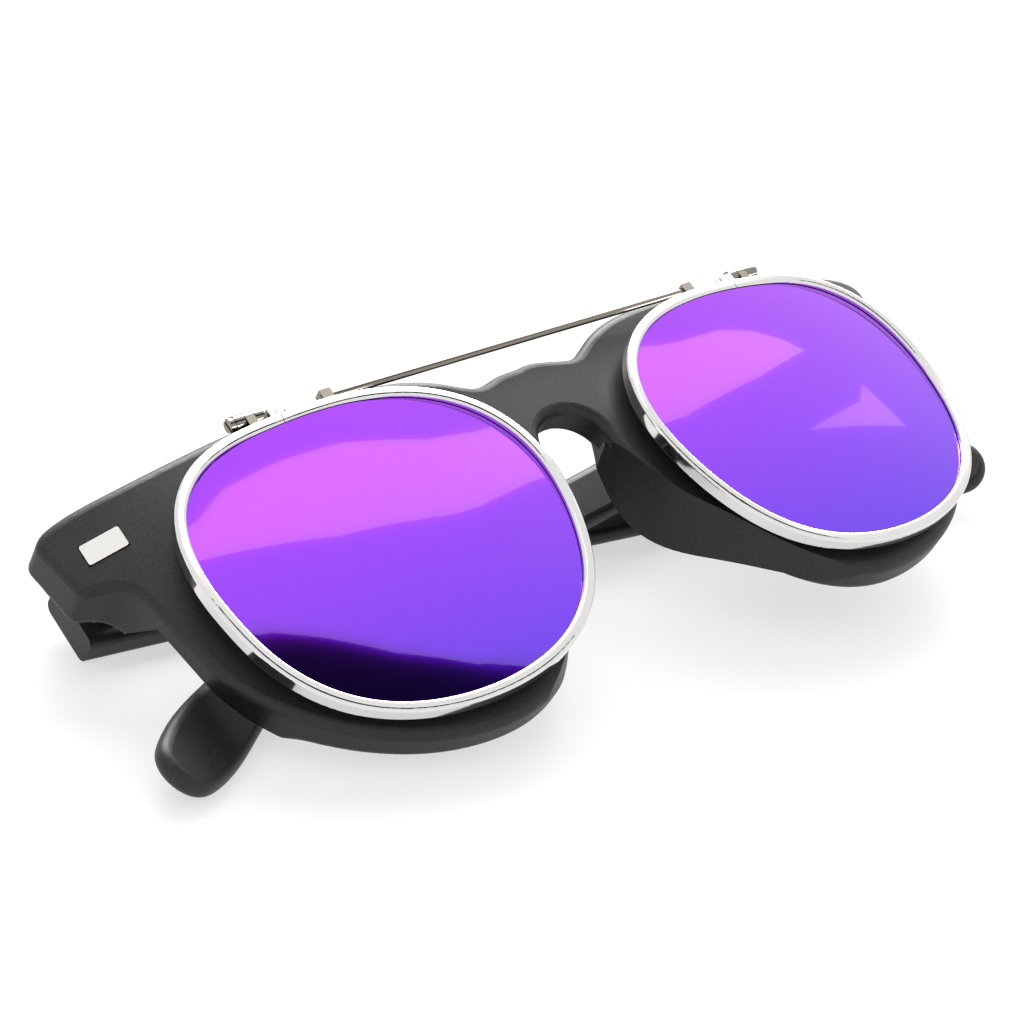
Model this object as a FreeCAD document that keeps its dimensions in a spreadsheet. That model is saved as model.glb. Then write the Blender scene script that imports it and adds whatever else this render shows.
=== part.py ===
import FreeCAD, Part
import math
import os

# Flip-up sunglasses, millimetres. The pieces are drawn in the frame of the front:
# X runs to the wearer's left, Y up to the brow, Z out of the front. One placement,
# `lay`, then sets the folded pair down on its temples with +Z up.
# side is -1 for the wearer's right and +1 for the wearer's left.

V = FreeCAD.Vector
Place = FreeCAD.Placement
Turn = FreeCAD.Rotation
AXIS_X = V(1, 0, 0)
AXIS_Y = V(0, 1, 0)
AXIS_Z = V(0, 0, 1)

doc = FreeCAD.newDocument("flip_up_sunglasses")
sheet = doc.addObject("Spreadsheet::Sheet", "sizes")

SIZES = {
    # front frame
    "front_width": 138.0,
    "eye_height": 41.5,
    "frame_depth": 4.5,
    "bow_radius": 600.0,
    "sweep_radius": 56.0,
    "end_depth": 14.4,
    "edge_round": 1.3,
    "pad_reach": 9.1,
    # lenses
    "clear_thickness": 1.4,
    "clear_curve": 130.0,
    "clear_inset": 1.8,
    "clear_tilt": 4.65,
    "mirror_thickness": 1.0,
    "mirror_curve": 180.0,
    "bevel": 0.9,
    "lens_clearance": 0.1,
    # flip front
    "rim_width": 1.5,
    "rim_depth": 2.2,
    "rim_bevel": 0.5,
    "rim_round": 0.45,
    "rim_split": 0.1,
    "flip_gap": 1.2,
    "bar_diameter": 1.0,
    # flip hinges
    "flip_barrel": 2.0,
    "flip_pin": 0.9,
    "flip_head": 1.8,
    "knuckle_gap": 0.1,
    # inlays
    "plaque_length": 5.2,
    "plaque_height": 2.8,
    "plaque_thickness": 1.2,
    # temples and their hinges
    "temple_reach": 134.0,
    "temple_height": 9.1,
    "temple_butt": 4.2,
    "temple_bend": 21.3,
    "temple_round": 1.2,
    "right_drop": 6.1,
    "left_drop": 8.6,
    "right_fold": 88.4,
    "left_fold": 93.2,
    "tip_inset": 10.0,
    "hinge_inset": 7.0,
    "hinge_behind": 1.7,
    "barrel_diameter": 3.0,
    "hinge_pin": 1.2,
    "leaf_thickness": 0.9,
    "prong_diameter": 1.2,
    # how the folded pair lies on the table
    "lay_tilt": 25.75,
    "lay_roll": -3.88,
}
for row, (name, value) in enumerate(SIZES.items(), start=1):
    sheet.set("A%d" % row, name)
    sheet.set("B%d" % row, str(value))
    sheet.setAlias("B%d" % row, name)
doc.recompute()


def size(name):
    return float(sheet.get(name))


SU = size("front_width") / 138.0
SV = size("eye_height") / 41.5
BOW = size("bow_radius")
EYE_U = 34.29 * SU
EYE_TILT = math.degrees(math.asin(EYE_U / BOW))
FACE = -size("rim_depth") - size("flip_gap")
REAR = FACE - size("end_depth")
SIDES = {"right": -1, "left": 1}


def bow(u):
    return BOW - math.sqrt(BOW * BOW - u * u)


# The front is bowed gently across the eyes; past SWEEP_U each end sweeps back on a tighter arc

SWEEP_U = 45.0 * SU
SWEEP = size("sweep_radius")
SWEEP_SINE = SWEEP_U / BOW
SWEEP_CENTRE = V(SWEEP_U * (1 - SWEEP / BOW), -bow(SWEEP_U) - SWEEP * math.sqrt(1 - SWEEP_SINE ** 2), 0)


def lean(u):
    if abs(u) <= SWEEP_U:
        return math.asin(abs(u) / BOW)
    return math.asin((abs(u) - SWEEP_CENTRE.x) / SWEEP)


def sag(u):
    if abs(u) <= SWEEP_U:
        return bow(u)
    return -SWEEP_CENTRE.y - SWEEP * math.cos(lean(u))


# Helpers for sketches, solids and booleans

def sketch(name, curves, place):
    item = doc.addObject("Sketcher::SketchObject", name)
    item.Placement = place
    for curve in curves:
        item.addGeometry(curve, False)
    return item


def segments(curve, count):
    first, last = curve.FirstParameter, curve.LastParameter
    parts = []
    for i in range(count):
        part = curve.copy()
        step = (last - first) / count
        part.segment(first + step * i, first + step * (i + 1))
        parts.append(part)
    return parts


def curve_through(points, count):
    spline = Part.BSplineCurve()
    spline.interpolate(points)
    return segments(spline, count)


def loop_through(points, count):
    spline = Part.BSplineCurve()
    spline.interpolate(Points=points, PeriodicFlag=True)
    return segments(spline, count)


def line(start, end):
    return Part.LineSegment(start, end)


def extrude(name, base, forward, back=0.0):
    item = doc.addObject("Part::Extrusion", name)
    item.Base = base
    item.DirMode = "Normal"
    item.Solid = True
    if isinstance(forward, str):
        item.setExpression("LengthFwd", forward)
    else:
        item.LengthFwd = forward
    if isinstance(back, str):
        item.setExpression("LengthRev", back)
    else:
        item.LengthRev = back
    return item


def box(name, low, high):
    item = doc.addObject("Part::Box", name)
    item.Length = high[0] - low[0]
    item.Width = high[1] - low[1]
    item.Height = high[2] - low[2]
    item.Placement = Place(V(*low), Turn())
    return item


def rod(name, diameter, start, along, length):
    item = doc.addObject("Part::Cylinder", name)
    if isinstance(diameter, str):
        item.setExpression("Radius", "(%s) / 2" % diameter)
    else:
        item.Radius = diameter / 2
    item.Height = length
    item.Placement = Place(V(*start), Turn(AXIS_Z, along))
    return item


def join(name, items):
    item = doc.addObject("Part::MultiFuse", name)
    item.Shapes = items
    return item


def cut(name, base, tool):
    item = doc.addObject("Part::Cut", name)
    item.Base = base
    item.Tool = tool
    return item


def common(name, base, tool):
    item = doc.addObject("Part::Common", name)
    item.Base = base
    item.Tool = tool
    return item


def rounded(name, base, radius, wanted):
    doc.recompute()
    picked = [i for i, edge in enumerate(base.Shape.Edges, start=1) if wanted(edge)]
    item = doc.addObject("Part::Fillet", name)
    item.Base = base
    for share in (1.0, 0.9, 0.8, 0.65, 0.5, 0.35):
        item.Edges = [(i, radius * share, radius * share) for i in picked]
        doc.recompute()
        shape = item.Shape
        if not shape.isNull() and shape.isValid() and 0.8 < shape.Volume / base.Shape.Volume < 1:
            break
    return item


pieces = {}


def piece(label, item, place=None):
    item.Label = label
    pieces[label] = (item, place or Place())
    return item


# Eye outline, one full turn in polar steps of 15 degrees from the temple side over the brow

EYE_RADII = [23.68, 24.43, 24.87, 24.04, 22.22, 20.62, 20.10, 20.63, 21.92, 23.55, 24.73, 24.84,
             24.14, 23.50, 23.26, 22.97, 22.34, 21.68, 21.40, 21.65, 22.33, 23.09, 23.45, 23.44]


def eye_points(side, grow):
    points = []
    for i, radius in enumerate(EYE_RADII):
        angle = math.radians(15 * i)
        points.append(V(side * radius * math.cos(angle) * SU, radius * math.sin(angle) * SV, 0))
    grown = []
    for i, point in enumerate(points):
        run = points[(i + 1) % len(points)] - points[i - 1]
        out = V(run.y, -run.x, 0) * side
        out.normalize()
        grown.append(point + out * grow)
    return grown


def eye_place(side, w, tilt):
    return Place(V(side * EYE_U, 0, w - bow(EYE_U)), Turn(AXIS_Y, side * tilt))


def eye_prism(name, place, side, grow, reach):
    outline = sketch(name + "_outline", loop_through(eye_points(side, grow), 6), place)
    return extrude(name, outline, reach, reach)


LENS_EDGE = 22.6 * SU


def lens_shell(name, place, curve, thickness, clearance):
    radius = size(curve)
    centre = place.multVec(V(0, 0, -math.sqrt(radius ** 2 - LENS_EDGE ** 2)))
    balls = []
    for tag, sign in (("_front", "+"), ("_back", "-")):
        ball = doc.addObject("Part::Sphere", name + tag)
        ball.setExpression("Radius", "sizes.%s %s (sizes.%s / 2 + %s)" % (curve, sign, thickness, clearance))
        ball.Placement = Place(centre, Turn(V(0, 0, -1), V(-1, 0, 0), AXIS_Y, "ZXY"))
        balls.append(ball)
    return cut(name, balls[0], balls[1])


def lens_in_groove(kind, tag, place, grow, curve, thickness):
    side = SIDES[tag]
    gap = size("lens_clearance")
    lens = common(kind + "_" + tag,
                  eye_prism(kind + "_disc_" + tag, place, side, grow, 6.0),
                  lens_shell(kind + "_shell_" + tag, place, curve, thickness, "0"))
    groove = common(kind + "_groove_" + tag,
                    eye_prism(kind + "_slot_" + tag, place, side, grow + gap, 6.0),
                    lens_shell(kind + "_room_" + tag, place, curve, thickness, "sizes.lens_clearance"))
    return lens, groove


# Front frame: outline of the front crossed with the bowed section seen from above

HALF_OUTLINE = [(4.0, 19.3), (6.4, 18.75), (8.0, 18.6), (9.6, 19.2), (12.0, 20.6), (16.0, 22.3), (23.0, 23.5),
                (33.0, 23.8), (42.0, 23.4), (48.3, 22.8), (54.0, 22.4), (59.0, 22.25), (63.8, 22.2),
                (66.3, 21.95), (68.0, 21.3), (68.8, 20.2), (68.7, 18.6), (68.3, 16.0), (67.9, 13.4),
                (67.5, 12.1), (66.6, 11.5), (65.2, 11.1), (63.9, 10.4), (62.9, 9.2), (62.2, 7.2),
                (61.85, 4.8), (61.2, 1.0),
                (59.7, -6.7), (56.8, -12.4), (52.7, -17.2), (47.8, -20.9),
                (41.8, -23.6), (34.8, -25.0), (28.0, -24.6), (22.0, -22.1), (17.5, -18.3), (13.0, -12.5),
                (9.8, -8.5), (7.6, -4.8), (6.1, -0.6), (5.2, 4.0), (4.9, 7.4), (4.1, 9.3), (2.3, 10.8)]


def at(points, side=1):
    return [V(side * u * SU, v * SV, 0) for u, v in points]


top = V(0, 19.6 * SV, 0)
arch = V(0, 11.3 * SV, 0)
front_loop = [top] + at(HALF_OUTLINE) + [arch] + at(HALF_OUTLINE, -1)[::-1]
front_outline = sketch("front_outline", loop_through(front_loop, 4), Place())
front_slab = extrude("front_slab", front_outline, 5.0, "sizes.end_depth + 30")

HALF = 74.0 * SU
THIN = 52.5 * SU
THICK = 59.5 * SU
DEPTH = size("frame_depth")


def swept(radius, u):
    return V(u, FACE + SWEEP_CENTRE.y + math.sqrt(radius ** 2 - (u - SWEEP_CENTRE.x) ** 2), 0)


def mirrored(point, side):
    return V(side * point.x, point.y, 0)


# Seen from above: a shallow arc over both eyes, a tighter one to each end, and the same arcs DEPTH behind,
# which swell into the end blocks where the temples hinge
section_curves = []
for radius, depth in ((BOW, 0.0), (BOW - DEPTH, DEPTH)):
    edge = V(radius * SWEEP_SINE, FACE - BOW + radius * math.sqrt(1 - SWEEP_SINE ** 2), 0)
    section_curves.append(Part.Arc(mirrored(edge, -1), V(0, FACE - depth, 0), edge))
    end = HALF if depth == 0 else THIN
    for side in (1, -1):
        stops = [edge, swept(SWEEP - depth, (edge.x + end) / 2), swept(SWEEP - depth, end)]
        section_curves.append(Part.Arc(*[mirrored(stop, side) for stop in stops]))
root = swept(SWEEP - DEPTH, THIN)
slope = -(THIN - SWEEP_CENTRE.x) / (root.y - FACE - SWEEP_CENTRE.y)
heel = V(THICK, REAR, 0)
corner = V(HALF, REAR, 0)
for side in (1, -1):
    swell = Part.BSplineCurve()
    swell.interpolate(Points=[mirrored(root, side), mirrored(heel, side)],
                      InitialTangent=V(side, slope, 0), FinalTangent=V(side, 0, 0))
    section_curves.append(swell)
    section_curves.append(line(mirrored(heel, side), mirrored(corner, side)))
    section_curves.append(line(mirrored(corner, side), mirrored(swept(SWEEP, HALF), side)))
section = sketch("front_section", section_curves, Place(V(0, 0, 0), Turn(AXIS_X, 90)))
section_bar = extrude("section_bar", section, 80.0, 80.0)
front_blank = common("front_blank", front_slab, section_bar)


def behind_face(edge):
    first, last = edge.ParameterRange
    points = [edge.valueAt(first + (last - first) * share) for share in (0.0, 0.25, 0.5, 0.75, 1.0)]
    return [FACE - sag(point.x) - point.z for point in points]


front_soft = rounded("front_soft", front_blank, size("edge_round"),
                     lambda edge: edge.BoundBox.XLength > 0.1 and max(behind_face(edge)) < 0.05)
back_soft = rounded("back_soft", front_soft, 0.8 * size("edge_round"),
                    lambda edge: edge.BoundBox.XLength > 0.1 and min(behind_face(edge)) > 3.0)

# Room behind the outer half of each eye, where the tip of the inner folded temple lies: below the end
# block the back follows the front, and no deeper than RELIEF

ASIDE = Turn(AXIS_Y, AXIS_Z, AXIS_X, "XYZ")
RELIEF = -11.6
brink_u = SWEEP_CENTRE.x + math.sqrt((SWEEP - DEPTH) ** 2 - (RELIEF - FACE - SWEEP_CENTRE.y) ** 2)
brink = swept(SWEEP - DEPTH, brink_u)
hollow = [brink, V(HALF, RELIEF, 0), V(HALF, REAR - 2, 0), V(THIN, REAR - 2, 0), root]
ledge = [V(v * SV, w, 0) for v, w in ((-45, FACE), (-1.0, FACE), (9.4, REAR - 1), (-45, REAR - 1))]
ledge_lines = [line(p, q) for p, q in zip(ledge, ledge[1:] + ledge[:1])]
ledge_bar = extrude("relief_ledge", sketch("relief_side", ledge_lines, Place(V(), ASIDE)), HALF, HALF)
hollows = []
for tag, side in SIDES.items():
    stops = [root, swept(SWEEP - DEPTH, (THIN + brink_u) / 2), brink]
    hollow_curves = [Part.Arc(*[mirrored(stop, side) for stop in stops])]
    hollow_curves += [line(mirrored(p, side), mirrored(q, side)) for p, q in zip(hollow, hollow[1:])]
    hollow_plan = sketch("relief_plan_" + tag, hollow_curves, Place(V(), Turn(AXIS_X, 90)))
    hollows.append(extrude("relief_" + tag, hollow_plan, 60.0, 60.0))
reliefs = common("front_reliefs", join("relief_pair", hollows), ledge_bar)
front_relieved = cut("front_relieved", back_soft, reliefs)

# Nose pads, moulded with the front, and the slant that shapes both sides of the nose gap

PAD_EYE = [(9.8, 9.6), (9.4, 3.6), (9.5, -1.0), (11.2, -5.5), (14.4, -11.0), (18.6, -15.6), (24.0, -18.8)]
PAD_NOSE = [(5.7, 9.6), (5.3, 7.2), (4.6, 4.4), (3.4, -1.0), (4.2, -6.5), (7.0, -12.0), (11.5, -18.0),
            (18.0, -23.5)]
PAD_DEPTH = [(13.0, 0.36), (9.4, 0.45), (5.7, 0.6), (1.3, 0.87), (-2.3, 1.0), (-5.3, 1.0), (-7.9, 0.935),
             (-12.3, 0.76), (-16.5, 0.57), (-20.5, 0.43), (-25.0, 0.36)]
NOSE_RIDGE = [(4.7, 8.0), (5.3, 5.0), (6.3, 1.6), (8.6, -4.2), (13.2, -10.3), (17.7, -16.2), (21.6, -20.1),
              (25.5, -22.9), (29.5, -24.9), (34.0, -26.5)]
backs = [V(v * SV, FACE - share * size("pad_reach"), 0) for v, share in PAD_DEPTH]
rim = [backs[-1], V(backs[-1].x, FACE - 1, 0), V(backs[0].x, FACE - 1, 0), backs[0]]
pad_side = sketch("pad_side", curve_through(backs, 1) + [line(p, q) for p, q in zip(rim, rim[1:])],
                  Place(V(), ASIDE))
pad_bar = extrude("pad_bar", pad_side, 40.0, 40.0)
pads = []
slants = []
for tag, side in SIDES.items():
    nose = at(PAD_NOSE, side)
    eye = at(PAD_EYE, side)
    edge_curves = curve_through(nose, 1) + curve_through(eye, 1)
    edge_curves += [line(nose[0], eye[0]), line(nose[-1], eye[-1])]
    crescent = sketch("pad_outline_" + tag, edge_curves, Place(V(0, 0, FACE - 2), Turn()))
    block = extrude("pad_block_" + tag, crescent, 0.0, "sizes.pad_reach")
    pads.append(common("pad_" + tag, block, pad_bar))

    ridge = at(NOSE_RIDGE, side)
    far = [ridge[-1], V(ridge[-1].x, -60, 0), V(-side, -60, 0), V(-side, ridge[0].y, 0), ridge[0]]
    ridge_curves = curve_through(ridge, 2) + [line(p, q) for p, q in zip(far, far[1:])]
    region = sketch("nose_region_" + tag, ridge_curves, Place(V(0, 0, FACE), Turn()))
    slant = doc.addObject("Part::Extrusion", "nose_slant_" + tag)
    slant.Base = region
    slant.DirMode = "Custom"
    slant.Dir = V(0, -0.41, -0.91)
    slant.Solid = True
    slant.LengthFwd = 24.0
    slant.LengthRev = 6.0
    slants.append(slant)
front_padded = join("front_padded", [front_relieved] + pads)
front_shaped = cut("front_shaped", front_padded, join("nose_slants", slants))

# Lenses and rims of both layers

CLEAR_EYE = FACE - 2.92
RIM_EYE = -size("rim_depth") / 2
SPLIT_U = 37.6 * SU
SPLIT = size("rim_split") / 2
clear_rooms = []
rim_outsides = {}
for tag, side in SIDES.items():
    place = eye_place(side, CLEAR_EYE, size("clear_tilt"))
    inset = size("clear_inset")
    opening = eye_prism("eye_opening_" + tag, place, side, -inset, 20.0)
    lens, groove = lens_in_groove("clear_lens", tag, place, size("bevel") - inset,
                                  "clear_curve", "clear_thickness")
    piece("clear_lens_" + tag, lens)
    clear_rooms += [opening, groove]

    place = eye_place(side, RIM_EYE, EYE_TILT)
    loops = loop_through(eye_points(side, size("rim_width")), 6) + loop_through(eye_points(side, 0.0), 6)
    rim_outline = sketch("rim_outline_" + tag, loops, place)
    ring = extrude("rim_ring_" + tag, rim_outline, "sizes.rim_depth / 2", "sizes.rim_depth / 2")
    wire = rounded("rim_wire_" + tag, ring, size("rim_round"),
                   lambda edge: max(edge.BoundBox.XLength, edge.BoundBox.YLength) > 5)
    lens, groove = lens_in_groove("mirror_lens", tag, place, size("rim_bevel"),
                                  "mirror_curve", "mirror_thickness")
    piece("mirror_lens_" + tag, lens)
    slit = box("rim_slit_" + tag, (side * SPLIT_U - SPLIT, 15 * SV, -8), (side * SPLIT_U + SPLIT, 26 * SV, 4))
    piece("flip_rim_" + tag, cut("rim_" + tag, wire, join("rim_room_" + tag, [groove, slit])))
    rim_outsides[tag] = eye_prism("rim_outside_" + tag, place, side, size("rim_width"), 6.0)

# Flip hinge of each side: base let into the front, leaf soldered on the rim, one screw as pin

FLIP_V = 22.7 * SV
FLIP_W = -2.9
BARREL = size("flip_barrel") / 2
GAP = size("knuckle_gap")
base_rooms = []
for tag, side in SIDES.items():
    u0, u1, u2, u3 = [u * SU for u in (38.9, 40.2, 41.7, 43.0)]
    front_w = -4.2
    back_w = -5.6

    def across(low, high):
        return (min(side * low, side * high), max(side * low, side * high))

    def cell(name, span, v0, v1, w0, w1):
        return box(name, (span[0], v0, w0), (span[1], v1, w1))

    def barrel(name, diameter, low, high):
        span = across(low, high)
        return rod(name, diameter, (span[0], FLIP_V, FLIP_W), AXIS_X, span[1] - span[0])

    def below(height):
        return FLIP_V - height

    whole = across(u0, u3)
    base = [cell("base_block_" + tag, whole, below(2.1), below(0.3), back_w, front_w)]
    for n, (low, high) in enumerate(((u0, u1), (u2, u3))):
        base.append(barrel("base_knuckle_%d_%s" % (n, tag), "sizes.flip_barrel", low, high))
        span = across(low, high)
        base.append(cell("base_neck_%d_%s" % (n, tag), span, below(0.8), below(0.3), front_w, FLIP_W))
    bore = barrel("base_bore_" + tag, "sizes.flip_pin + 0.06", u0 - 1, u3 + 1)
    piece("flip_base_" + tag, cut("flip_base_cut_" + tag, join("flip_base_solid_" + tag, base), bore))
    room = (whole[0] - 0.05, whole[1] + 0.05)
    base_rooms.append(cell("base_room_" + tag, room, below(2.15), below(0.25), back_w - 0.05, 0.0))

    span = across(u1 + GAP, u2 - GAP)
    tongue = cell("leaf_tongue_" + tag, span, below(2.4), FLIP_V, FLIP_W - 0.4, FLIP_W + 1.0)
    knuckle = barrel("leaf_knuckle_" + tag, "sizes.flip_barrel", u1 + GAP, u2 - GAP)
    leaf = join("leaf_solid_" + tag, [tongue, knuckle])
    bore = barrel("leaf_bore_" + tag, "sizes.flip_pin + 0.1", u0 - 1, u3 + 1)
    away = join("leaf_away_" + tag, [bore, rim_outsides[tag]])
    piece("flip_leaf_" + tag, cut("flip_leaf_cut_" + tag, leaf, away))

    shank = barrel("flip_shank_" + tag, "sizes.flip_pin", u0, u3 + 0.3)
    head = barrel("flip_head_" + tag, "sizes.flip_head", u3 + 0.05, u3 + 0.75)
    span = across(u3 + 0.5, u3 + 1)
    slot = cell("flip_slot_" + tag, span, FLIP_V - 2, FLIP_V + 2, FLIP_W - 0.15, FLIP_W + 0.15)
    screw = join("flip_screw_solid_" + tag, [shank, head])
    piece("flip_screw_" + tag, cut("flip_screw_cut_" + tag, screw, slot))

# Closing block of each rim: two halves either side of the split, drawn together by a screw

CLOSE_V = 22.1 * SV
CLOSE_W = -2.35
for tag, side in SIDES.items():
    spans = {"outer": (SPLIT_U + SPLIT, SPLIT_U + 1.0), "inner": (SPLIT_U - 1.0, SPLIT_U - SPLIT)}

    def lengthwise(name, diameter, low, high):
        start = min(side * low, side * high)
        return rod(name, diameter, (start, CLOSE_V, CLOSE_W), AXIS_X, abs(high - low))

    for part, (low, high) in spans.items():
        start, end = sorted((side * low, side * high))
        half_block = box("closing_%s_%s" % (part, tag), (start, CLOSE_V - 1.6, CLOSE_W - 0.75),
                         (end, CLOSE_V + 0.6, CLOSE_W + 0.75))
        bore = lengthwise("closing_bore_%s_%s" % (part, tag), 0.66, low - 1, high + 1)
        away = join("closing_away_%s_%s" % (part, tag), [bore, rim_outsides[tag]])
        trimmed = cut("closing_cut_%s_%s" % (part, tag), half_block, away)
        piece("closing_block_%s_%s" % (part, tag), trimmed)
    shank = lengthwise("closing_shank_" + tag, 0.6, SPLIT_U - 1.2, SPLIT_U + 1.0)
    head = lengthwise("closing_head_" + tag, 1.1, SPLIT_U - 1.45, SPLIT_U - 1.02)
    piece("closing_screw_" + tag, join("closing_screw_solid_" + tag, [shank, head]))

# Brow bar, straight from rim to rim, held in a small saddle at each end

BAR_V = 22.1 * SV
BAR_W = -1.85
bar_end = 31.0 * SU
bar = rod("brow_bar_rod", "sizes.bar_diameter", (-bar_end, BAR_V, BAR_W), AXIS_X, 2 * bar_end)
piece("brow_bar", bar)
for tag, side in SIDES.items():
    start, end = sorted((side * 29.3 * SU, side * (31.0 * SU - 0.1)))
    reach = size("bar_diameter") / 2 + 0.25
    saddle = box("saddle_block_" + tag, (start, BAR_V - 1.3, BAR_W - reach),
                 (end, BAR_V + reach, BAR_W + reach))
    bore = rod("saddle_bore_" + tag, "sizes.bar_diameter + 0.02", (start - 1, BAR_V, BAR_W), AXIS_X,
               end - start + 2)
    away = join("saddle_away_" + tag, [bore, rim_outsides[tag]])
    piece("bar_saddle_" + tag, cut("bar_saddle_cut_" + tag, saddle, away))

# Inlaid plaques on the end pieces

plaque_rooms = []
for tag, side in SIDES.items():
    u = side * 63.0 * SU
    place = Place(V(u, 16.0 * SV, FACE - sag(u)), Turn(AXIS_Y, side * math.degrees(lean(u))))
    for name, grow, low, high in (("plaque", 0.0, 0.12 - size("plaque_thickness"), 0.12),
                                  ("plaque_room", 0.1, 0.07 - size("plaque_thickness"), 2.0)):
        block = doc.addObject("Part::Box", name + "_" + tag)
        block.setExpression("Length", "sizes.plaque_length + %s" % (2 * grow))
        block.setExpression("Width", "sizes.plaque_height + %s" % (2 * grow))
        block.Height = high - low
        corner = V(-size("plaque_length") / 2 - grow, -size("plaque_height") / 2 - grow, low)
        block.Placement = place.multiply(Place(corner, Turn()))
        if grow:
            plaque_rooms.append(block)
        else:
            piece("plaque_" + tag, rounded("plaque_soft_" + tag, block, 0.3,
                                           lambda edge: abs(edge.Length - size("plaque_thickness")) < 0.01))

# Temple hinges: front half let onto the rear of the end piece, temple half on the temple

HINGE_U = 69.2 * SU - size("hinge_inset")
HINGE_W = REAR - size("hinge_behind")
HINGE_V = 16.2 * SV
R = size("barrel_diameter") / 2
LEAF = size("leaf_thickness")
prong_rooms = []


def hinge_barrel(name, diameter, u, w, low, high):
    return rod(name, diameter, (u, HINGE_V + low, w), AXIS_Y, high - low)


for tag, side in SIDES.items():
    u = side * HINGE_U
    start, end = sorted((u - side * 4.2, u + side * 1.2))
    front = [box("front_leaf_" + tag, (start, HINGE_V - 3.3, REAR - LEAF), (end, HINGE_V + 3.3, REAR))]
    for n, (low, high) in enumerate(((-3.3, -1.3), (1.3, 3.3))):
        front.append(hinge_barrel("front_barrel_%d_%s" % (n, tag), "sizes.barrel_diameter", u, HINGE_W,
                                  low, high))
    for n, height in enumerate((-2.0, 2.0)):
        spot = (u - side * 2.6, HINGE_V + height, REAR - 0.2)
        front.append(rod("front_prong_%d_%s" % (n, tag), "sizes.prong_diameter", spot, AXIS_Z, 2.7))
        prong_rooms.append(rod("front_prong_hole_%d_%s" % (n, tag), "sizes.prong_diameter + 0.06", spot,
                               AXIS_Z, 2.8))
    bore = hinge_barrel("front_bore_" + tag, "sizes.hinge_pin + 0.04", u, HINGE_W, -5, 5)
    notch = hinge_barrel("front_notch_" + tag, "sizes.barrel_diameter + 0.3", u, HINGE_W, -1.3, 1.3)
    away = join("front_away_" + tag, [bore, notch])
    piece("front_hinge_" + tag, cut("front_hinge_cut_" + tag, join("front_hinge_solid_" + tag, front), away))

    shank = hinge_barrel("screw_shank_" + tag, "sizes.hinge_pin", u, HINGE_W, -3.3, 3.4)
    head = hinge_barrel("screw_head_" + tag, "sizes.hinge_pin + 1.0", u, HINGE_W, 3.33, 4.0)
    slot = box("screw_slot_" + tag, (u - 2, HINGE_V + 3.75, HINGE_W - 0.17),
               (u + 2, HINGE_V + 5, HINGE_W + 0.17))
    screw = join("screw_solid_" + tag, [shank, head])
    piece("temple_screw_" + tag, cut("temple_screw_cut_" + tag, screw, slot))

# Temples, drawn open: X back from the hinge axis, Y up, Z out to the side, then turned to the folded rest

STRAIGHT = 103.0
BEND = math.radians(size("temple_bend"))
BEND_RADIUS = 45.0
TAIL = size("temple_reach") - STRAIGHT - BEND_RADIUS * math.sin(BEND)
STATIONS = [(-8.0, 1.02), (25.0, 0.9), (60.0, 0.8), (95.0, 0.8)]


def on_path(share):
    angle = BEND * share
    point = V(STRAIGHT + BEND_RADIUS * math.sin(angle), -BEND_RADIUS * (1 - math.cos(angle)), 0)
    return point, V(math.sin(angle), math.cos(angle), 0)


def temple_points(drop):
    half_height = size("temple_height") / 2
    upper = []
    lower = []
    for x, share in STATIONS:
        upper.append(V(x, half_height * share, 0))
        lower.append(V(x, -half_height * share, 0))
    for share, part in ((0.5, 0.84), (1.0, 0.9)):
        point, normal = on_path(share)
        upper.append(point + normal * half_height * part)
        lower.append(point - normal * half_height * part)
    point, normal = on_path(1.0)
    along = V(normal.y, -normal.x, 0)
    tail = point + along * (TAIL / math.cos(BEND))
    radius = half_height * 0.93
    nose = []
    for degrees in (90, 50, 0, -50, -90):
        angle = math.radians(degrees)
        nose.append(tail + normal * radius * math.sin(angle) + along * radius * math.cos(angle))
    whole = upper + nose + lower[::-1]
    turn = Turn(AXIS_Z, -drop)
    return [turn.multVec(p) + V(0, 15.4 * SV, 0) for p in whole]


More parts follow.
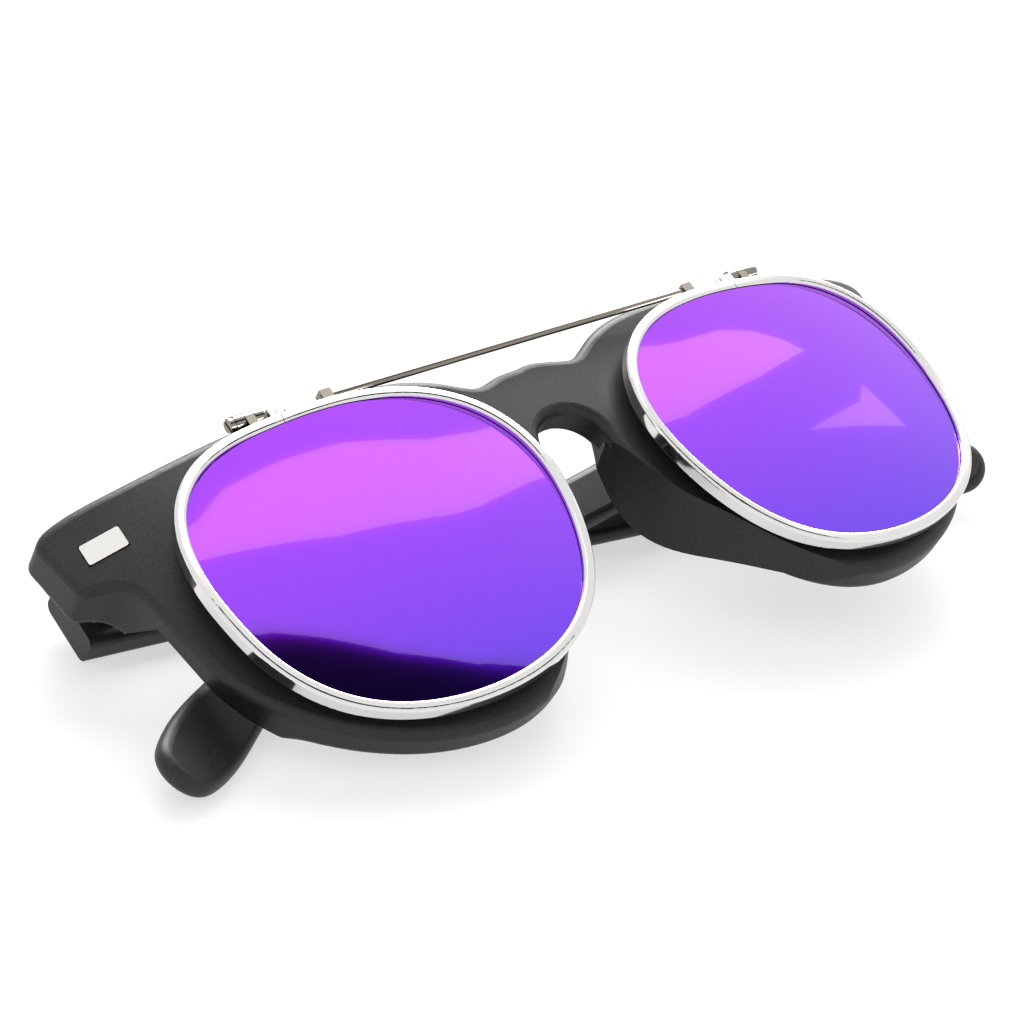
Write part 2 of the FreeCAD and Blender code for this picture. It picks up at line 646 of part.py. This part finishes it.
for tag, side in SIDES.items():
    drop = size(tag + "_drop")
    fold = size(tag + "_fold")
    butt = 0.1 - size("hinge_behind")
    outer = size("hinge_inset")
    inner = outer - size("temple_butt")
    inset = size("tip_inset")
    hinge_at = Place(V(side * HINGE_U, 0, HINGE_W), Turn(AXIS_Y, 90 + side * fold))

    edge_points = temple_points(drop)
    side_curves = curve_through(edge_points, 8) + [line(edge_points[-1], edge_points[0])]
    side_view = sketch("temple_side_" + tag, side_curves, Place())
    slab = extrude("temple_slab_" + tag, side_view, 20.0, 20.0)

    end = size("temple_reach") + 12.0
    outside = []
    inside = [V(12, side * inner, 0), V(28, side * (inner + 0.9), 0), V(60, side * (inner + 1.4), 0)]
    for share in (0.0, 0.25, 0.5, 0.75, 1.0):
        x = 90 + (end - 90) * share
        bent = outer - 1.4 * inset * share ** 2
        outside.append(V(x, side * bent, 0))
        inside.append(V(x, side * (bent - 2.8), 0))
    heel = [V(butt, side * inner, 0), V(butt, side * outer, 0)]
    plan_curves = curve_through(outside, 1) + curve_through(inside, 2)
    plan_curves += [line(heel[0], inside[0]), line(heel[0], heel[1]), line(heel[1], outside[0]),
                    line(inside[-1], outside[-1])]
    plan = sketch("temple_plan_" + tag, plan_curves, Place(V(), Turn(AXIS_X, 90)))
    plan_bar = extrude("temple_plan_bar_" + tag, plan, 80.0, 80.0)
    blank = common("temple_blank_" + tag, slab, plan_bar)
    soft = rounded("temple_soft_" + tag, blank, size("temple_round"),
                   lambda edge: edge.BoundBox.XLength > 0.4)

    low, high = sorted((side * (inner - LEAF), side * inner))
    plate = [box("temple_leaf_" + tag, (0.6, HINGE_V - 2.8, low), (9.0, HINGE_V + 2.8, high))]
    low, high = sorted((0.0, side * inner))
    plate.append(box("temple_arm_" + tag, (0.6, HINGE_V - 1.2, low), (2.6, HINGE_V + 1.2, high)))
    plate.append(hinge_barrel("temple_barrel_" + tag, "sizes.barrel_diameter", 0, 0, -1.2, 1.2))
    holes = []
    for n, x in enumerate((4.6, 7.4)):
        spot = (x, HINGE_V, side * (inner - 0.2))
        plate.append(rod("temple_prong_%d_%s" % (n, tag), "sizes.prong_diameter", spot, AXIS_Z * side, 2.2))
        holes.append(rod("temple_prong_hole_%d_%s" % (n, tag), "sizes.prong_diameter + 0.06", spot,
                         AXIS_Z * side, 2.3))
    bore = hinge_barrel("temple_bore_" + tag, "sizes.hinge_pin + 0.1", 0, 0, -5, 5)
    plate_solid = join("temple_hinge_solid_" + tag, plate)
    piece("temple_hinge_" + tag, cut("temple_hinge_cut_" + tag, plate_solid, bore), hinge_at)
    piece("temple_" + tag, cut("temple_cut_" + tag, soft, join("temple_holes_" + tag, holes)), hinge_at)

rooms = join("front_rooms", clear_rooms + base_rooms + plaque_rooms + prong_rooms)
piece("front_frame", cut("front_cut", front_shaped, rooms))
doc.recompute()

# Lay the folded pair down: turn it so the table is level, then set the box's bottom centre at zero

lay = Place(V(), Turn(AXIS_Y, size("lay_roll")).multiply(Turn(AXIS_X, size("lay_tilt"))))
low = [1e9, 1e9, 1e9]
high = [-1e9, -1e9, -1e9]
for label, (item, place) in pieces.items():
    if item.State and ("Invalid" in item.State or "Error" in item.State):
        raise RuntimeError("not built: " + label)
    shape = item.Shape.copy()
    shape.Placement = lay.multiply(place).multiply(shape.Placement)
    box_ = shape.optimalBoundingBox(False, False)
    low = [min(a, b) for a, b in zip(low, (box_.XMin, box_.YMin, box_.ZMin))]
    high = [max(a, b) for a, b in zip(high, (box_.XMax, box_.YMax, box_.ZMax))]
shift = V(-(low[0] + high[0]) / 2, -(low[1] + high[1]) / 2, -low[2])
lay = Place(shift, Turn()).multiply(lay)
for label, (item, place) in pieces.items():
    item.Placement = lay.multiply(place).multiply(item.Placement)
doc.recompute()

os.makedirs("parts", exist_ok=True)
for item in doc.Objects:
    if "Invalid" in item.State or "Error" in item.State:
        raise RuntimeError("not built: " + item.Label)
for label, (item, place) in pieces.items():
    if item.Shape.isNull() or not item.Shape.isValid():
        raise RuntimeError("bad shape: " + label)
    item.Shape.exportStep("parts/%s.step" % label)
    print("%-24s %9.3f mm3  solids %d" % (label, item.Shape.Volume, len(item.Shape.Solids)))
print("lay", lay.Base, lay.Rotation.Q)
print("box", [round(b - a, 2) for a, b in zip(low, high)])
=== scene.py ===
import math

import bmesh
import bpy
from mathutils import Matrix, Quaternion, Vector


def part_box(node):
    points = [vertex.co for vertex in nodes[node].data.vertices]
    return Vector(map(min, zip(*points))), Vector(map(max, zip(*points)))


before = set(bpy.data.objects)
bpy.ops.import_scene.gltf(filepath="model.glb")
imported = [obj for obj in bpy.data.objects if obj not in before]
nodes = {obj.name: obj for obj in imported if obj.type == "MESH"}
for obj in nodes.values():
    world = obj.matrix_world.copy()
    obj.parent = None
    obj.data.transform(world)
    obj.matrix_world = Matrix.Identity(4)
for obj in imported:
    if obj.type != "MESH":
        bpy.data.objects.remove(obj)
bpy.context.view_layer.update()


# Front frame and temples: the spectacle front is one injection moulding with its nose pads, and each
# temple another. Both are sprayed with a soft-touch black lacquer, which hides the moulding's gloss,
# spreads every highlight and shows a very fine grain.

def linear(hex_colour):
    channels = [int(hex_colour[i:i + 2], 16) / 255 for i in (1, 3, 5)]
    return [c / 12.92 if c <= 0.04045 else ((c + 0.055) / 1.055) ** 2.4 for c in channels] + [1.0]


def add_node(tree, kind, settings=None, inputs=None):
    node = tree.nodes.new(kind)
    for name, value in (settings or {}).items():
        setattr(node, name, value)
    for name, value in (inputs or {}).items():
        if isinstance(value, bpy.types.NodeSocket):
            tree.links.new(value, node.inputs[name])
        else:
            node.inputs[name].default_value = value
    return node


def new_finish(name):
    finish = bpy.data.materials.new(name)
    finish.use_nodes = True
    tree = finish.node_tree
    return finish, tree, tree.nodes["Principled BSDF"]


def give_finish(finish, names):
    for name in names:
        nodes[name].data.materials.clear()
        nodes[name].data.materials.append(finish)


def both(*names):
    return [name + side for name in names for side in ("_right", "_left")]


# A noise of scale PER_MM has spots of about a millimetre
PER_MM = 1000.0
# The real grain is finer, and is drawn this coarse so that it shows
GRAIN_MM = 0.22
GRAIN_DEPTH = 0.02 / PER_MM
RUBBED_MM = 9.0
GRAIN_SHARE = 0.7

lacquer, tree, skin = new_finish("soft_touch_black_lacquer")
place = add_node(tree, "ShaderNodeTexCoord")
grain = add_node(tree, "ShaderNodeTexNoise",
                 inputs={"Vector": place.outputs["Object"], "Scale": PER_MM / GRAIN_MM, "Detail": 3.0})
rubbed = add_node(tree, "ShaderNodeTexNoise",
                  inputs={"Vector": place.outputs["Object"], "Scale": PER_MM / RUBBED_MM, "Detail": 2.0})
wear = add_node(tree, "ShaderNodeMix", {"data_type": "FLOAT"},
                {"Factor": GRAIN_SHARE, "A": rubbed.outputs["Fac"], "B": grain.outputs["Fac"]})
tone = add_node(tree, "ShaderNodeValToRGB", inputs={"Fac": wear.outputs["Result"]})
darkest, lightest = tone.color_ramp.elements
darkest.position = 0.38
darkest.color = linear("#0B0B0C")
lightest.position = 0.64
lightest.color = linear("#242326")
sheen = add_node(tree, "ShaderNodeMapRange",
                 inputs={"Value": grain.outputs["Fac"], "To Min": 0.36, "To Max": 0.54})
relief = add_node(tree, "ShaderNodeBump",
                  inputs={"Height": grain.outputs["Fac"], "Strength": 0.60, "Distance": GRAIN_DEPTH})
tree.links.new(tone.outputs["Color"], skin.inputs["Base Color"])
tree.links.new(sheen.outputs["Result"], skin.inputs["Roughness"])
tree.links.new(relief.outputs["Normal"], skin.inputs["Normal"])
skin.inputs["IOR"].default_value = 1.45
give_finish(lacquer, ["front_frame"] + both("temple"))


# Clear lenses: plano lenses moulded in clear plastic, sprung into the groove of the front frame. They
# are hard coated and polished, so they show only as a faint gloss, a little smeared from use.

def uneven_gloss(tree, skin, spot_mm, smoothest, roughest):
    place = add_node(tree, "ShaderNodeTexCoord")
    spots = add_node(tree, "ShaderNodeTexNoise",
                     inputs={"Vector": place.outputs["Object"], "Scale": PER_MM / spot_mm})
    gloss = add_node(tree, "ShaderNodeMapRange",
                     inputs={"Value": spots.outputs["Fac"], "To Min": smoothest, "To Max": roughest})
    tree.links.new(gloss.outputs["Result"], skin.inputs["Roughness"])


clear, tree, skin = new_finish("clear_polycarbonate")
skin.inputs["Base Color"].default_value = linear("#F4F6F5")
skin.inputs["IOR"].default_value = 1.58
skin.inputs["Transmission Weight"].default_value = 1.0
uneven_gloss(tree, skin, spot_mm=12.0, smoothest=0.02, roughest=0.05)
give_finish(clear, both("clear_lens"))


# Inlaid plaques: small rectangles of white metal pressed into pockets of the end pieces and polished,
# with a thin dark gap all round. The polish leaves a slight unevenness in the gloss.

def metal_finish(name, colour, names, spot_mm, smoothest, roughest):
    metal, tree, skin = new_finish(name)
    skin.inputs["Base Color"].default_value = linear(colour)
    skin.inputs["Metallic"].default_value = 1.0
    uneven_gloss(tree, skin, spot_mm, smoothest, roughest)
    give_finish(metal, names)


metal_finish("polished_white_metal", "#F0EEEA", both("plaque"), spot_mm=0.3, smoothest=0.16, roughest=0.26)


# Temple hinges: stamped steel leaves with rolled barrels, their prongs sunk hot into the plastic, and
# a plain screw for a pin. Left as tumbled, so the steel is satin.

metal_finish("tumbled_hinge_steel", "#A6A6AA", both("front_hinge", "temple_hinge", "temple_screw"),
             spot_mm=0.4, smoothest=0.26, roughest=0.40)


# Flip front: grooved rim wire closed by a small split block and screw, brow bar, hinge knuckles and
# screws. All are nickel silver. Rims, closing blocks and their screws are plated with bright chrome.
# The brow bar and its hinges are plated too, but drawn in a darker, warmer metal that is as glossy:
# that dark tone is a painted reflection of the black frame and dark surroundings the plate mirrors.

PLATED = {"spot_mm": 2.0, "smoothest": 0.05, "roughest": 0.10}
metal_finish("bright_chrome_plate", "#E2E1DF",
             both("flip_rim", "closing_screw", "closing_block_outer", "closing_block_inner"), **PLATED)
# Darker, warmer base colour: a painted reflection of dark surroundings in the plated bar and hinges
metal_finish("plate_with_painted_dark_reflection", "#8C857C",
             ["brow_bar"] + both("flip_base", "flip_leaf", "flip_screw", "bar_saddle"), **PLATED)


# Mirror lenses: tinted plastic with a vacuum coated interference mirror on the front and a clear hard
# coat over it. The coating's thickness drifts over the lens, which carries its colour from magenta at
# the brow to violet and blue at the cheek. The uncoated back shows the dark tint.

BROW_TO_CHEEK = Vector((0.03, -0.90, -0.43))
HALF_LENS_HEIGHT = 0.021
OUT_OF_FRONT = Vector((-0.06, -0.43, 0.90))
LEAST_FACING = 0.5
for lens, coating in zip(both("mirror_lens"), both("violet_mirror_coating")):
    low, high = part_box(lens)
    middle = (low + high) / 2
    mirror, tree, skin = new_finish(coating)
    place = add_node(tree, "ShaderNodeTexCoord")
    about = add_node(tree, "ShaderNodeMapping", {"vector_type": "POINT"},
                     {"Vector": place.outputs["Object"], "Location": [-c for c in middle]})
    along = add_node(tree, "ShaderNodeVectorMath", {"operation": "DOT_PRODUCT"},
                     {0: about.outputs["Vector"], 1: BROW_TO_CHEEK})
    drift = add_node(tree, "ShaderNodeMapRange",
                     inputs={"Value": along.outputs["Value"], "From Min": -HALF_LENS_HEIGHT,
                             "From Max": HALF_LENS_HEIGHT})
    colour = add_node(tree, "ShaderNodeValToRGB", inputs={"Fac": drift.outputs["Result"]})
    stops = colour.color_ramp.elements
    stops[0].color = linear("#A81EF8")
    stops[1].color = linear("#6420F0")
    stops.new(0.5).color = linear("#9422FA")
    facing = add_node(tree, "ShaderNodeVectorMath", {"operation": "DOT_PRODUCT"},
                      {0: place.outputs["Normal"], 1: OUT_OF_FRONT})
    coated = add_node(tree, "ShaderNodeMath", {"operation": "GREATER_THAN"},
                      {0: facing.outputs["Value"], 1: LEAST_FACING})
    shown = add_node(tree, "ShaderNodeMix", {"data_type": "RGBA"},
                     {"Factor": coated.outputs["Value"], "A": linear("#2B2530"),
                      "B": colour.outputs["Color"]})
    tree.links.new(shown.outputs["Result"], skin.inputs["Base Color"])
    tree.links.new(coated.outputs["Value"], skin.inputs["Metallic"])
    skin.inputs["Roughness"].default_value = 0.08
    skin.inputs["Coat Weight"].default_value = 1.0
    skin.inputs["Coat Roughness"].default_value = 0.015
    skin.inputs["Coat IOR"].default_value = 1.65
    give_finish(mirror, [lens])


# Table and room: a white table in a white room. The table takes the pair's shadow, and to the eye, in
# reflections and through the lenses it is bleached part of the way to pure white.

def stage_piece(name, shape, finish):
    mesh = bpy.data.meshes.new(name)
    shape.to_mesh(mesh)
    shape.free()
    mesh.materials.append(finish)
    piece = bpy.data.objects.new(name, mesh)
    bpy.context.scene.collection.objects.link(piece)
    return piece


WHITE = (1.0, 1.0, 1.0, 1.0)
TABLE_HALF_WIDTH = 3.0
BLEACHED_SHARE = 0.6

table_top = bmesh.new()
bmesh.ops.create_grid(table_top, x_segments=1, y_segments=1, size=TABLE_HALF_WIDTH)
table_white, tree, skin = new_finish("white_table")
skin.inputs["Base Color"].default_value = linear("#F7F7F7")
skin.inputs["Roughness"].default_value = 0.6
ray = add_node(tree, "ShaderNodeLightPath")
eye_or_gloss = add_node(tree, "ShaderNodeMath", {"operation": "MAXIMUM"},
                        {0: ray.outputs["Is Camera Ray"], 1: ray.outputs["Is Glossy Ray"]})
seen = add_node(tree, "ShaderNodeMath", {"operation": "MAXIMUM"},
                {0: eye_or_gloss.outputs["Value"], 1: ray.outputs["Is Transmission Ray"]})
bleached = add_node(tree, "ShaderNodeMath", {"operation": "MULTIPLY"},
                    {0: seen.outputs["Value"], 1: BLEACHED_SHARE})
paper = add_node(tree, "ShaderNodeEmission", inputs={"Color": WHITE, "Strength": 1.0})
mixed = add_node(tree, "ShaderNodeMixShader",
                 inputs={0: bleached.outputs["Value"], 1: skin.outputs["BSDF"], 2: paper.outputs["Emission"]})
tree.links.new(mixed.outputs["Shader"], tree.nodes["Material Output"].inputs["Surface"])
stage_piece("table", table_top, table_white)

world = bpy.data.worlds.new("white_room")
bpy.context.scene.world = world
world.use_nodes = True
world.node_tree.nodes["Background"].inputs["Color"].default_value = WHITE
world.node_tree.nodes["Background"].inputs["Strength"].default_value = 1.0


# Lamp and cards: one soft lamp behind the brow, and studio cards overhead that give no diffuse light and
# show only in gloss or through the clear lenses: a softbox, a panel beside it, a bright one behind the
# brow, and a black flag on the camera's side.

CARD_HEIGHT = 0.8


def card(name, outline, strength):
    panel = bmesh.new()
    panel.faces.new([panel.verts.new((x, y, CARD_HEIGHT)) for x, y in outline])
    glow = bpy.data.materials.new(name)
    glow.use_nodes = True
    glow.node_tree.nodes.clear()
    light = add_node(glow.node_tree, "ShaderNodeEmission", inputs={"Color": WHITE, "Strength": strength})
    add_node(glow.node_tree, "ShaderNodeOutputMaterial", inputs={"Surface": light.outputs["Emission"]})
    piece = stage_piece(name, panel, glow)
    piece.visible_camera = False
    piece.visible_diffuse = False
    piece.visible_shadow = False


# The softbox has two round far edges, one for the bright patch on each mirror lens
card("softbox", [(-0.10, 0.06), (-0.10, 0.08), (0.05, 0.09), (0.13, 0.14), (0.23, 0.16), (0.33, 0.17),
                 (0.47, 0.16), (0.58, 0.175), (0.70, 0.205), (0.78, 0.21), (0.85, 0.20), (0.90, 0.18),
                 (0.70, 0.10), (0.48, 0.03), (0.42, 0.02), (0.23, 0.02), (0.04, 0.05)], strength=1.9)
card("panel_beside_softbox", [(0.73, -0.01), (1.09, 0.03), (1.02, 0.12), (0.96, 0.07)], strength=1.7)
card("panel_behind_brow", [(-0.05, 0.30), (0.50, 0.30), (0.70, 0.45), (1.80, 0.50), (1.80, 1.50),
                           (-0.05, 1.50)], strength=12.0)
card("flag", [(-0.30, -0.06), (0.04, -0.07), (0.13, -0.12), (0.21, -0.17), (0.33, -0.22), (0.44, -0.235),
              (0.62, -0.30), (0.62, -0.60), (-0.30, -0.60)], strength=0.02)

lamp = bpy.data.lights.new("soft_lamp", "AREA")
lamp.shape = "SQUARE"
lamp.size = 0.7
lamp.energy = 6.0
lamp_object = bpy.data.objects.new("soft_lamp", lamp)
bpy.context.scene.collection.objects.link(lamp_object)
lamp_object.location = (0.35, 0.55, 0.75)
lamp_object.rotation_euler = (-lamp_object.location).to_track_quat("-Z", "Y").to_euler()
lamp_object.visible_glossy = False


# Camera: where the photograph was taken from, found by fitting the front's outline. It looks down on
# the pair from the wearer's right, and is rolled a little to the side.

CAMERA_PLACE = Vector((-0.22637, -0.22034, 0.16693))
LOOKS_AT = Vector((-0.00794, 0.00662, 0.01200))
CAMERA_ROLL = math.radians(8.088)

camera = bpy.data.cameras.new("camera")
camera.lens = 97.08
camera.sensor_width = 36.0
camera.clip_start = 0.01
camera_object = bpy.data.objects.new("camera", camera)
bpy.context.scene.collection.objects.link(camera_object)
level = (LOOKS_AT - CAMERA_PLACE).to_track_quat("-Z", "Y")
camera_object.location = CAMERA_PLACE
camera_object.rotation_euler = (level @ Quaternion((0, 0, 1), CAMERA_ROLL)).to_euler()
bpy.context.scene.camera = camera_object
bpy.context.scene.view_settings.view_transform = "Standard"
